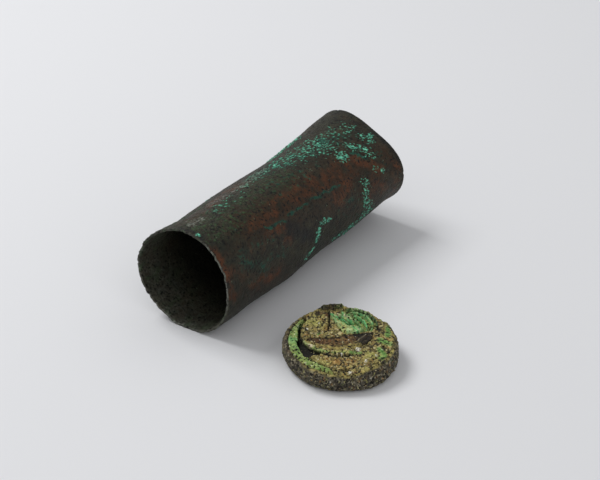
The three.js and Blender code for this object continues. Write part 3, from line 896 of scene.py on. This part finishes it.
# %% Relief and stains of the ring
skin_noise = fractal(local, 1.8, 71, 4)
rubble = rubble_height(local[:, 0], local[:, 1])[0]
upper = smooth(0.8, 1.0, stretch)
local[:, 2] += upper * (0.1 * skin_noise + 0.9 * rubble + 0.05 + 0.2 * fractal(local, 0.7, 77, 2))
inner_side = 1 - smooth(COLLAR_INNER, COLLAR_OUTER, radius)
moved = inner_side * (ring_taper(angle) + 0.5 * skin_noise) + (1 - inner_side) * 0.45
local[:, :2] *= (1 + moved / radius)[:, None]
ring_masks = {
    "dark": np.maximum(1 - smooth(0.6, 0.95, stretch), 0.8 * smooth(0.5, 0.8, skin_noise)),
    "yellow": 0.7 * smooth(0.0, 0.6, fractal(local, 2.0, 73, 3)) * bump(angle, 240, 45),
    "emerald": 0.6 * smooth(-0.2, 0.4, fractal(local, 3.0, 74, 3)) * bump(angle, 160, 30),
    "brown": 0.8 * smooth(0.25, 0.5, fractal(local, 1.1, 76, 3)) * smooth(0.35, 0.9, 1 - inner_side),
    "white": smooth(0.68, 0.75, fractal(local, 0.8, 75, 2)),
}
faces = net_faces(len(profile), RING_COLUMNS, True, True)
make_piece("inner_collar_green", on_lid(local), faces, ring_masks, ring_skin, "lid", ["inner_collar"])

# %% [markdown]
# ### Set earth
# Sand that copper salts have cemented fills the lid, one surface from the middle out to the rim. The
# strip and the roll stand in it, so it is lower where they are. What lies where was read off the
# photograph into a plan in millimetres: outlines of areas, and strokes of (points, half width, strength)
# for cracks and stains. A big grain is its place and radius, and a hill its place, its reach both ways and
# its height. Loose particles would take long to settle and never come out the same.

# %% Plan of the earth
STRIP_OUTLINE = [
    (9.3, 3.4), (5.8, 3.0), (1.4, 2.1), (-3.2, 0.9), (-8.6, 0.9), (-9.6, -0.1), (-6.4, -2.6), (-1.9, -3.9),
    (3.6, -3.7), (7.2, -1.5), (9.4, 1.0),
]
HOLLOW = [(-13.0, 1.0), (-11.2, 1.2), (-9.4, -1.4), (-4.4, -5.4), (-6.2, -6.7), (-9.4, -7.8), (-12.4, -5.6)]
ROLL_AREA = [(-2.6, 12.0), (0.2, 5.0), (2.0, 3.4), (9.0, 4.4), (10.6, 7.6), (8.6, 12.6), (2.0, 14.6)]
CRACKS = [
    ([(-5.6, -6.0), (-3.2, -7.1), (-0.5, -7.2), (3.3, -7.0)], 0.36, 1.0),
    ([(-4.6, -13.0), (-1.0, -13.4), (2.6, -13.5)], 0.32, 1.0),
    ([(12.3, -2.7), (13.7, -4.1), (14.5, -5.5), (15.3, -6.9)], 0.3, 1.0),
    ([(-3.1, 13.6), (-2.9, 9.2), (-3.5, 4.3)], 0.25, 1.0),
    ([(-11.6, 6.5), (-11.8, 2.0), (-10.6, 0.4)], 0.35, 0.8),
]
ORANGE_EARTH = [([(-4, -9.5), (1, -10.5), (4.5, -9.5)], 2.6, 0.62), ([(-5, 9), (-4, 5)], 1.6, 0.5)]
YELLOW_EARTH = [
    ([(8.5, -7), (12, -8), (14, -10)], 2.2, 0.75), ([(-1.5, -5.6), (1.5, -5.6)], 0.9, 0.95),
    ([(-9, 8.5), (-6, 7)], 2.4, 0.75), ([(-8, -9), (-4, -10.5)], 1.6, 0.7),
    ([(-8.5, 10.5), (-6, 11.5)], 1.8, 0.7), ([(6, -14.6), (9, -13), (13, -10.5)], 0.8, 0.8),
]
GREEN_EARTH = [
    ([(11.4, -4.6), (13.5, -9.0), (11.5, -8.0)], 1.4, 0.85), ([(11.5, -0.3), (14.6, -2.0)], 1.2, 0.9),
    ([(13.8, 2), (14.3, 6)], 1.2, 0.85), ([(3, -6), (5.5, -6.2)], 0.9, 0.7),
    ([(-6.5, 2.6), (-6, 3)], 0.4, 1.1),
]
BROWN_EARTH = [([(-6, 12.8), (-4, 12.0)], 1.2, 0.9), ([(3, -14.5), (5, -15)], 1.2, 0.8)]
# Dark crust, and along the strip's lower edge, from (0, -4.4) to (9, -1.0), a painted shadow
DARK_EARTH_AND_SHADOW = [
    ([(-5.5, 14.3), (0, 14.8)], 0.8, 0.7), ([(14.6, -4), (14.4, -9), (10, -13)], 0.7, 0.4),
    ([(0, -4.4), (5, -3.6), (9, -1.0)], 0.9, 0.8), ([(11.5, 3), (12.5, 8)], 1.3, 0.7),
]
BIG_GRAINS = [
    (5.05, -4.5, 0.75), (0.3, -6.6, 0.35), (6.9, -11.2, 0.3), (7.2, -9.7, 0.4),
    (10.2, -7.1, 0.35), (-6.2, 7.4, 0.35), (-9.6, 5.2, 0.3), (2.6, -14.4, 0.5),
]
HILLS = [(-6, 7, 4, 4, 0.35), (8, -3, 4, 3, -0.25)]

# %% Reading the plan
def outline_distance(outline, x, y):
    """Distance to an outline, negative inside it."""
    near = line_distance(list(outline) + [outline[0]], x, y)
    inside = np.zeros(x.shape, bool)
    for (x0, y0), (x1, y1) in zip(outline, list(outline[1:]) + [outline[0]]):
        crosses = (y0 > y) != (y1 > y)
        at = x0 + (x1 - x0) * (y - y0) / (y1 - y0 if y1 != y0 else 1e-9)
        inside ^= crosses & (x < at)
    return np.where(inside, -near, near)


def stained(strokes, x, y, noise_values, edge=0.35):
    return smooth(1 - edge, 1 + edge, painted(strokes, x, y) + 0.5 * noise_values + 0.4)


# %% [markdown]
# The net of the earth is a round of rings, denser than the grains. Broad hills and dips come first, then
# the rubble it shares with the rim, then the hollow, the beds of strip and roll, the cracks and at last
# the few white grains that are big enough to be placed one by one.

# %% Relief of the earth
BED_RINGS, BED_COLUMNS = 62, 400
EARTH_DROP, FRONT_DROP = 0.15, 0.35
HOLLOW_FLOOR = 5.3
STRIP_BED, ROLL_BED = 1.3, 0.5
CRACK_DEPTH, EDGE_DROP = 0.9, 1.4

reach = np.linspace(0.01, 1, BED_RINGS)
angle, share = (g.ravel() for g in np.meshgrid(np.linspace(0, 360, BED_COLUMNS, endpoint=False), reach))
buried = 1 - collar_shown(angle)
ring_edge = 12.2 + ring_taper(angle) * (1 - buried)
edge_radius = ring_edge + (RIM_INNER + 0.3 - ring_edge) * buried
x = share * edge_radius * np.cos(np.radians(angle))
y = share * edge_radius * np.sin(np.radians(angle))
ground = on_plan(x, y)
rough = fractal(ground, 3.2, 81, 4)
rubble, grain, grain_kind = rubble_height(x, y)
z = top_plane(y) - EARTH_DROP - FRONT_DROP * smooth(4, 12, -y)
z -= 0.5 * np.exp(-((x + 1) / 6) ** 2) * smooth(11, 15, -y)
for hill_x, hill_y, wide, deep, hill_height in HILLS:
    z += hill_height * np.exp(-((x - hill_x) / wide) ** 2 - ((y - hill_y) / deep) ** 2)
z += rubble
in_hollow = 1 - smooth(-0.6, 0.15, outline_distance(HOLLOW, x, y))
z = z * (1 - in_hollow) + in_hollow * (HOLLOW_FLOOR + 0.15 * rough)
in_strip = 1 - smooth(-0.2, 0.5, outline_distance(STRIP_OUTLINE, x, y))
z -= STRIP_BED * in_strip
in_roll = 1 - smooth(-0.3, 0.6, outline_distance(ROLL_AREA, x, y))
z -= ROLL_BED * in_roll
crack = painted(CRACKS, x + 0.15 * rubble, y + 0.15 * rubble)
z -= CRACK_DEPTH * crack
z -= EDGE_DROP * smooth(0.965, 1.0, share) * (1 - buried)
big_grain = np.zeros(len(x))
for gx, gy, size in BIG_GRAINS:
    off = np.hypot(x - gx, y - gy) * (1 + 0.18 * np.sin(5 * np.arctan2(y - gy, x - gx) + gx))
    dome = np.clip(1 - (off / size) ** 2, 0, 1)
    z += 0.55 * size * np.sqrt(dome)
    big_grain = np.maximum(big_grain, smooth(0.0, 0.3, dome))
print("earth, mm: from", z.min().round(2), "to", z.max().round(2), "over the table")

# %% Stains of the earth
# dark crust, with a painted shadow under the strip's lower edge
dark_crust_and_shadow = painted(DARK_EARTH_AND_SHADOW, x, y) * smooth(-0.4, 0.3, fractal(ground, 0.9, 85, 2))
# painted shade in the groove between the earth and the green ring
painted_groove_shade = 0.8 * smooth(0.95, 1, share) * (1 - buried)
gaps = 0.9 * smooth(0.62, 0.72, grain)
bed_masks = {
    "orange": stained(ORANGE_EARTH, x, y, rough),
    "yellow": stained(YELLOW_EARTH, x, y, rough),
    "green": np.maximum(stained(GREEN_EARTH, x, y, rubble), 0.6 * in_roll),
    "brown": np.maximum(stained(BROWN_EARTH, x, y, rough), in_strip),
    "sand": 0.7 * smooth(0.2, 0.7, fractal(ground, 2.0, 84, 3)) * (grain_kind > 0.4) * (1 - in_hollow),
    # dark: painted shade in the cracks, the hollow and the groove, dark crust with a painted shadow, and dark
    # gaps
    "dark": np.clip(crack * 1.2 + in_hollow * 1.4 + dark_crust_and_shadow + painted_groove_shade, 0, 1) + gaps,
    "white": np.maximum(big_grain, 0.8 * (1 - smooth(0.15, 0.25, grain)) * (grain_kind > 0.97)),
}

# %% Body of the earth
under = np.stack([x, y, np.full(len(x), BED_BOTTOM)], 1).reshape(BED_RINGS, BED_COLUMNS, 3)[::-6]
top = np.stack([x, y, z], 1).reshape(BED_RINGS, BED_COLUMNS, 3)
local = np.concatenate([top, under]).reshape(-1, 3)
count = len(under) * BED_COLUMNS
bed_masks = {mask: np.concatenate([values, np.zeros(count)]) for mask, values in bed_masks.items()}
faces = net_faces(BED_RINGS + len(under), BED_COLUMNS, True, True)
make_piece("set_earth", on_lid(local), faces[:, ::-1], bed_masks, earth_skin, "lid", ["packing"])

# %% [markdown]
# ### Strip, fold and foil
# Folded and rolled sheet metal, seen edge on, is all lines. So a flat piece lies between two lines, its
# upper and its lower edge, and a leaf is a thin wall that stands along one line. Both are closed bodies
# whose top is worked by noise. Cloth simulation would fold a sheet too, but not into these folds.

# %% Lines and normals
def spline(points, steps):
    """A smooth line that passes through every point."""
    p = np.array(points, float)
    p = np.concatenate([[2 * p[0] - p[1]], p, [2 * p[-1] - p[-2]]])
    u = np.linspace(0, len(p) - 3 - 1e-6, steps)
    i = u.astype(int)
    t = (u - i)[:, None]
    a, b, c, d = p[i], p[i + 1], p[i + 2], p[i + 3]
    square, cube = 2 * a - 5 * b + 4 * c - d, 3 * b - a - 3 * c + d
    return 0.5 * (2 * b + (c - a) * t + square * t ** 2 + cube * t ** 3)


def fix_normals(piece):
    net = bmesh.new()
    net.from_mesh(piece.data)
    bmesh.ops.recalc_face_normals(net, faces=net.faces)
    net.to_mesh(piece.data)
    net.free()


# %% Flat pieces
def flat_piece(name, first, second, floor, height, masks, material, node, steps=110, across=44):
    """A slab between two lines, with a rounded edge and the given height over the lid's table."""
    one, two = spline(first, steps), spline(second, steps)
    v = np.linspace(0, 1, across)[:, None, None]
    top = one[None] * (1 - v) + two[None] * v
    x, y = top[..., 0].ravel(), top[..., 1].ravel()
    u_grid, v_grid = np.meshgrid(np.linspace(0, 1, steps), np.linspace(0, 1, across))
    u_grid, v_grid = u_grid.ravel(), v_grid.ravel()
    edge = np.minimum(np.minimum(v_grid, 1 - v_grid) * across, np.minimum(u_grid, 1 - u_grid) * steps)
    z = height(x, y, u_grid, v_grid) - 0.35 * np.exp(-edge / 1.5)
    upper = np.stack([x, y, z], 1)
    lower = np.stack([x, y, np.full(len(x), floor)], 1)
    both = np.concatenate([upper, lower])
    half = len(upper)
    top_faces = net_faces(across, steps, False, False)
    index = np.arange(half).reshape(across, steps)
    loop = np.concatenate([index[0, :-1], index[:-1, -1], index[-1, :0:-1], index[:0:-1, 0]])
    side = np.stack([loop, np.roll(loop, -1), np.roll(loop, -1) + half, loop + half], 1)
    faces = np.concatenate([top_faces, top_faces[:, ::-1] + half, side[:, ::-1]])
    values = masks(x, y, u_grid, v_grid)
    values = {mask: np.concatenate([value, value]) for mask, value in values.items()}
    fix_normals(make_piece(name, on_lid(both), faces, values, material, "lid", [node]))


# %% Leaves
def leaf(name, line, thick, floor, height, masks, material, node, steps=90, seed=0):
    """A thin wall along a line, tapered at both ends, with an uneven top."""
    middle = spline(line, steps)
    along = np.gradient(middle, axis=0)
    along /= np.linalg.norm(along, axis=1)[:, None]
    side = np.stack([-along[:, 1], along[:, 0]], 1)
    u = np.linspace(0, 1, steps)
    across = np.concatenate([np.linspace(-1, 1, 7), np.full(3, 1.0), np.full(3, -1.0)])
    level = np.concatenate([np.ones(7), [0.75, 0.5, 0.0], [0.0, 0.5, 0.75]])
    half = thick / 2 * (0.45 + 0.55 * np.sqrt(np.sin(np.pi * np.clip(u, 0.001, 0.999))))
    wave = fractal(on_plan(u * 12, 0 * u), 2.0, 90 + seed, 3)
    points = middle[None] + side[None] * (across[:, None] * half)[..., None]
    points = points + side[None] * (0.12 * wave)[None, :, None]
    x, y = points[..., 0].ravel(), points[..., 1].ravel()
    spots = on_plan(x, y)
    tops = height(x, y) + 0.25 * fractal(spots, 1.6, 95 + seed, 3) + 0.3 * fractal(spots, 0.6, 97 + seed, 2)
    tops = tops.reshape(points.shape[:2])
    ease = np.minimum(u, 1 - u)[None] * 8
    tops = tops - 0.6 * np.exp(-ease) - 0.12 * np.abs(across)[:, None] ** 4
    z = floor + level[:, None] * (tops - floor)
    local = np.stack([x, y, z.ravel()], 1)
    faces = net_faces(len(across), steps, True, False).tolist()
    first_end = [row * steps for row in range(len(across))]
    ends = [first_end, [index + steps - 1 for index in reversed(first_end)]]
    caps = np.array([local[end].mean(0) for end in ends])
    for k, end in enumerate(ends):
        faces += [[b, a, len(local) + k] for a, b in zip(end, end[1:] + end[:1])]
    local = np.concatenate([local, caps])
    values = masks(local[:, 0], local[:, 1], local)
    fix_normals(make_piece(name, on_lid(local), faces, values, material, "lid", [node]))


# %% [markdown]
# ### The folded strip
# A strip of foil was folded flat and laid across the lid. It is brown oxide, orange in the middle where
# the oxide is thin, and nearly black at the right, with a bright scratch. Sand lies over its lower edge,
# and a raised ridge runs along the upper one, where the fold is. A dark band along that ridge is painted
# shadow, cast by the roll behind.

# %% Folded strip
STRIP_FLOOR, ROLL_FLOOR = 4.2, 6.0
STRIP_UPPER = [(-9.4, 0.4), (-8.4, 0.9), (-3.2, 0.9), (1.4, 2.1), (5.8, 3.0), (9.3, 3.4)]
STRIP_LOWER = [(-9.5, 0.0), (-6.4, -2.6), (-1.9, -3.9), (3.6, -3.7), (7.2, -1.5), (9.4, 1.0)]
SCRATCH = [([(5.2, 0.1), (7.6, 2.8)], 0.16, 1.0)]


def strip_height(x, y, u, v):
    p = on_plan(x, y)
    ridge = 0.3 * np.exp(-(v / 0.08) ** 2)
    relief = 0.16 * fractal(p, 2.6, 101, 3) + 0.14 * fractal(p, 0.9, 102, 3)
    return top_plane(y) - 0.25 + 0.04 * y + ridge + relief


def strip_masks(x, y, u, v):
    p = on_plan(x, y)
    n = fractal(p, 1.5, 103, 4)
    middle = np.exp(-((u - 0.5) / 0.16) ** 2 - ((v - 0.35) / 0.35) ** 2)
    # painted shadow along the upper edge, cast by the roll behind, and a dark right end
    shadow_and_dark_end = np.exp(-(v / 0.08) ** 2) + 0.8 * smooth(0.64, 0.78, u)
    return {
        "orange": 0.85 * middle * smooth(-0.3, 0.5, n),
        "brown": np.exp(-((u - 0.35) / 0.25) ** 2) * smooth(-0.5, 0.3, n),
        "sand": 0.8 * smooth(0.55, 0.85, v + 0.35 * fractal(p, 0.8, 105, 3)) * (u < 0.75),
        "dark": np.clip(shadow_and_dark_end + 0.7 * smooth(0.2, 0.5, n), 0, 1),
        "cream": painted(SCRATCH, x, y),
        "white": smooth(0.8, 0.9, fractal(p, 0.7, 104, 2)),
    }


flat_piece("folded_strip_brown", STRIP_UPPER, STRIP_LOWER, STRIP_FLOOR, strip_height, strip_masks, strip_skin,
           "folded_strip")

# %% [markdown]
# Along its lower edge the strip is folded over once more. This lip has turned green, with a cream patch
# at its left end, and yellow sand sticks to it further right.

# %% The strip's outer fold
LIP_LINE = [(-10.7, 0.7), (-8.6, -2.3), (-5.0, -4.8), (-0.4, -5.7), (3.2, -5.2)]


def lip_masks(x, y, p):
    n = fractal(p, 1.0, 111, 3)
    return {
        "cream": 0.9 * np.exp(-((x + 8.8) / 1.4) ** 2) * smooth(-0.3, 0.2, n) + 0.5 * smooth(0.3, 0.6, n),
        "yellow": smooth(-3, 2, x) * smooth(-0.2, 0.4, n),
        # painted shade: the lip is dark on its lower part, over the hollow
        "dark": 1 - smooth(6.0, 6.8, p[:, 2]),
    }


leaf("strip_fold_green", LIP_LINE, 1.1, STRIP_FLOOR, lambda x, y: top_plane(y) - 0.1, lip_masks, ring_skin,
     "strip_fold", seed=1)

# %% [markdown]
# ### The broken roll of foil
# The roll's green middle and its leaves. The foil has turned to malachite through and through, in thin
# sheets that break at their tops. Each leaf is painted darker towards its foot, as painted shade in the
# gaps between the leaves, and the outermost leaf is darker in patches. Two slivers have gone pale.

# %% Lines of the foil
CORE_UPPER = [(-2.6, 10.6), (-1.3, 9.9), (0.4, 8.4), (2.6, 6.5), (4.4, 6.5), (5.6, 5.8), (6.9, 5.2)]
CORE_LOWER = [(-2.2, 10.0), (-1.0, 7.4), (0.3, 4.4), (1.6, 3.0), (4.6, 3.5), (5.8, 3.8), (6.9, 4.4)]
LEAF_LINES = [
    [(2.0, 14.2), (4.9, 13.8), (7.2, 12.6), (9.4, 10.4), (10.9, 7.6), (10.5, 4.9)],
    [(3.2, 12.9), (6.0, 12.2), (8.0, 10.4), (9.3, 8.4), (9.6, 6.4), (9.2, 4.6)],
    [(1.9, 12.0), (4.4, 11.0), (6.2, 9.5), (7.4, 7.6), (7.8, 5.6), (7.6, 4.2)],
    [(0.6, 13.4), (1.7, 11.0), (3.3, 9.5), (4.9, 8.2), (6.1, 6.6)],
    [(-0.8, 12.6), (0.6, 10.6), (2.3, 8.9), (4.2, 7.5)],
    [(-2.6, 12.6), (-0.9, 10.6), (0.9, 8.9), (2.8, 7.2)],
]
PALE_SLIVERS = [([(-1.4, 13.0), (0.2, 11.2)], 0.5, 1.0), ([(1.5, 11.3), (3.0, 9.8)], 0.5, 1.0)]
LEAF_THICK = 0.45
LEAF_RISE = [1.25, 0.95, 0.9, 0.95, 0.9, 0.8]


# %% Middle of the roll
def core_height(x, y, u, v):
    p = on_plan(x, y)
    streak = fractal(on_plan((x + y) * 0.35, (x - y) * 1.6), 1.6, 121, 3)
    return top_plane(y) + 0.25 + 0.04 * y + 0.25 * streak + 0.3 * fractal(p, 1.0, 122, 3)


def core_masks(x, y, u, v):
    p = on_plan(x, y)
    n = fractal(p, 1.6, 123, 4)
    return {
        "yellow": 0.9 * np.exp(-((x - 1.5) / 2.2) ** 2 - ((y - 4.8) / 2.4) ** 2) * smooth(-0.6, 0.3, n),
        "emerald": 0.9 * smooth(-0.1, 0.4, n) * smooth(2.5, 5.0, x) + 0.5 * smooth(0.3, 0.6, n),
        "sand": 0.8 * smooth(0.15, 0.4, fractal(p, 1.1, 126, 3)),
        "dark": smooth(0.35, 0.6, fractal(p, 0.7, 124, 3)) * 0.8,
        "white": smooth(0.75, 0.85, fractal(p, 0.7, 125, 2)),
    }


flat_piece("foil_core_green", CORE_UPPER, CORE_LOWER, ROLL_FLOOR, core_height, core_masks, foil_skin,
           "foil_core", 80, 36)


# %% Leaves of the roll
def leaf_masks(number):
    is_outer, has_sliver = number == 0, number in (3, 4)

    def masks(x, y, p):
        n = fractal(p, 1.3, 130 + number, 3)
        outer_dark = (0.75 if is_outer else 0.0) * smooth(-0.5, 0.2, n)
        # painted shade: each leaf darkens towards its foot, in the gaps between the leaves
        shaded_foot = 1 - smooth(6.9, 7.9, p[:, 2])
        specks = 0.7 * smooth(0.35, 0.6, fractal(p, 0.7, 160 + number, 2))
        return {
            "emerald": smooth(-0.3, 0.3, n) * (0.4 if is_outer else 0.85),
            "dark": np.clip(outer_dark + shaded_foot + specks, 0, 1),
            "cream": painted(PALE_SLIVERS, x, y) * smooth(-0.4, 0.1, n) * has_sliver,
            "yellow": 0.6 * smooth(0.3, 0.6, fractal(p, 1.1, 150 + number, 2)),
        }
    return masks


def leaf_top(rise):
    def height(x, y):
        return top_plane(y) + rise - 0.055 * np.maximum(0, x - 4) - 0.15
    return height


for i, line in enumerate(LEAF_LINES):
    node = f"foil_leaf_{i + 1}"
    leaf(f"{node}_green", line, LEAF_THICK, ROLL_FLOOR, leaf_top(LEAF_RISE[i]), leaf_masks(i), foil_skin,
         node, seed=2 + i)

# %% [markdown]
# ### The plate
# The flat plate under the earth shows only from below and when the lid is closed. Its solid is good
# enough there, under the same dark crust as the rim.

# %% Plate
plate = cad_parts["lid_plate"]
plate.data.materials.clear()
plate.data.materials.append(crust_skin)

# %% [markdown]
# ## Stage
# A plain floor of matt pale grey paper. It is wide enough for its edge never to show.

# %% Floor
FLOOR_SIZE = 6.0
PAPER_ROUGHNESS = 0.9
floor_mesh = bpy.data.meshes.new("floor")
corners = [(FLOOR_SIZE * i, FLOOR_SIZE * j, 0) for i, j in ((-1, -1), (1, -1), (1, 1), (-1, 1))]
floor_mesh.from_pydata(corners, [], [(0, 1, 2, 3)])
floor = bpy.data.objects.new("floor", floor_mesh)
bpy.context.collection.objects.link(floor)
floor_paint = bpy.data.materials.new("matt paper, pale grey")
floor_paint.use_nodes = True
floor_paint.node_tree.nodes["Principled BSDF"].inputs["Base Color"].default_value = linear(0xE2E3E6)
floor_paint.node_tree.nodes["Principled BSDF"].inputs["Roughness"].default_value = PAPER_ROUGHNESS
floor_mesh.materials.append(floor_paint)

# %% [markdown]
# The photograph was taken from 30 degrees up through a long lens, so lines hardly converge. The angles and
# the distance, in metres, were solved from the tube's outline.

# %% Camera
AZIMUTH, ELEVATION = np.radians(35.11), np.radians(30.06)
DISTANCE = 0.6449
TARGET = np.array([-0.02579, 0.01948, 0.0])
level = np.cos(ELEVATION)
toward = np.array([np.sin(AZIMUTH) * level, -np.cos(AZIMUTH) * level, np.sin(ELEVATION)])
right = np.array([np.cos(AZIMUTH), np.sin(AZIMUTH), 0])
camera_data = bpy.data.cameras.new("camera")
camera_data.lens, camera_data.sensor_width = 120, 36
camera_data.clip_start = 0.01
camera = bpy.data.objects.new("camera", camera_data)
camera.location = TARGET + DISTANCE * toward
camera.rotation_euler = (np.pi / 2 - ELEVATION, 0, AZIMUTH)
bpy.context.collection.objects.link(camera)
bpy.context.scene.camera = camera
print("camera at", np.array(camera.location).round(3))

# %% [markdown]
# One large soft light stands at the upper left and behind, and lays the shadows to the right as in the
# photograph. A weaker and larger one in front, and an even white sky, lift the dark sides. Together they
# show a colour about as it is written.

# %% Lights
def soft_light(name, where, size, power):
    """A square light of a size in metres, placed right, away and up from the middle, that faces it."""
    data = bpy.data.lights.new(name, "AREA")
    data.size, data.energy = size, power
    lamp = bpy.data.objects.new(name, data)
    away = np.array([-right[1], right[0], 0])
    lamp.location = where[0] * right + where[1] * away + np.array([0, 0, where[2]])
    lamp.rotation_euler = (-lamp.location).to_track_quat("-Z", "Y").to_euler()
    bpy.context.collection.objects.link(lamp)


soft_light("key", where=(-0.55, 0.35, 0.8), size=0.45, power=6.0)
soft_light("fill", where=(0.3, -0.9, 0.6), size=0.9, power=2.0)
SKY_STRENGTH = 0.45
world = bpy.data.worlds.new("studio")
world.use_nodes = True
world.node_tree.nodes["Background"].inputs["Color"].default_value = (1, 1, 1, 1)
world.node_tree.nodes["Background"].inputs["Strength"].default_value = SKY_STRENGTH
bpy.context.scene.world = world
bpy.context.scene.view_settings.view_transform = "Standard"
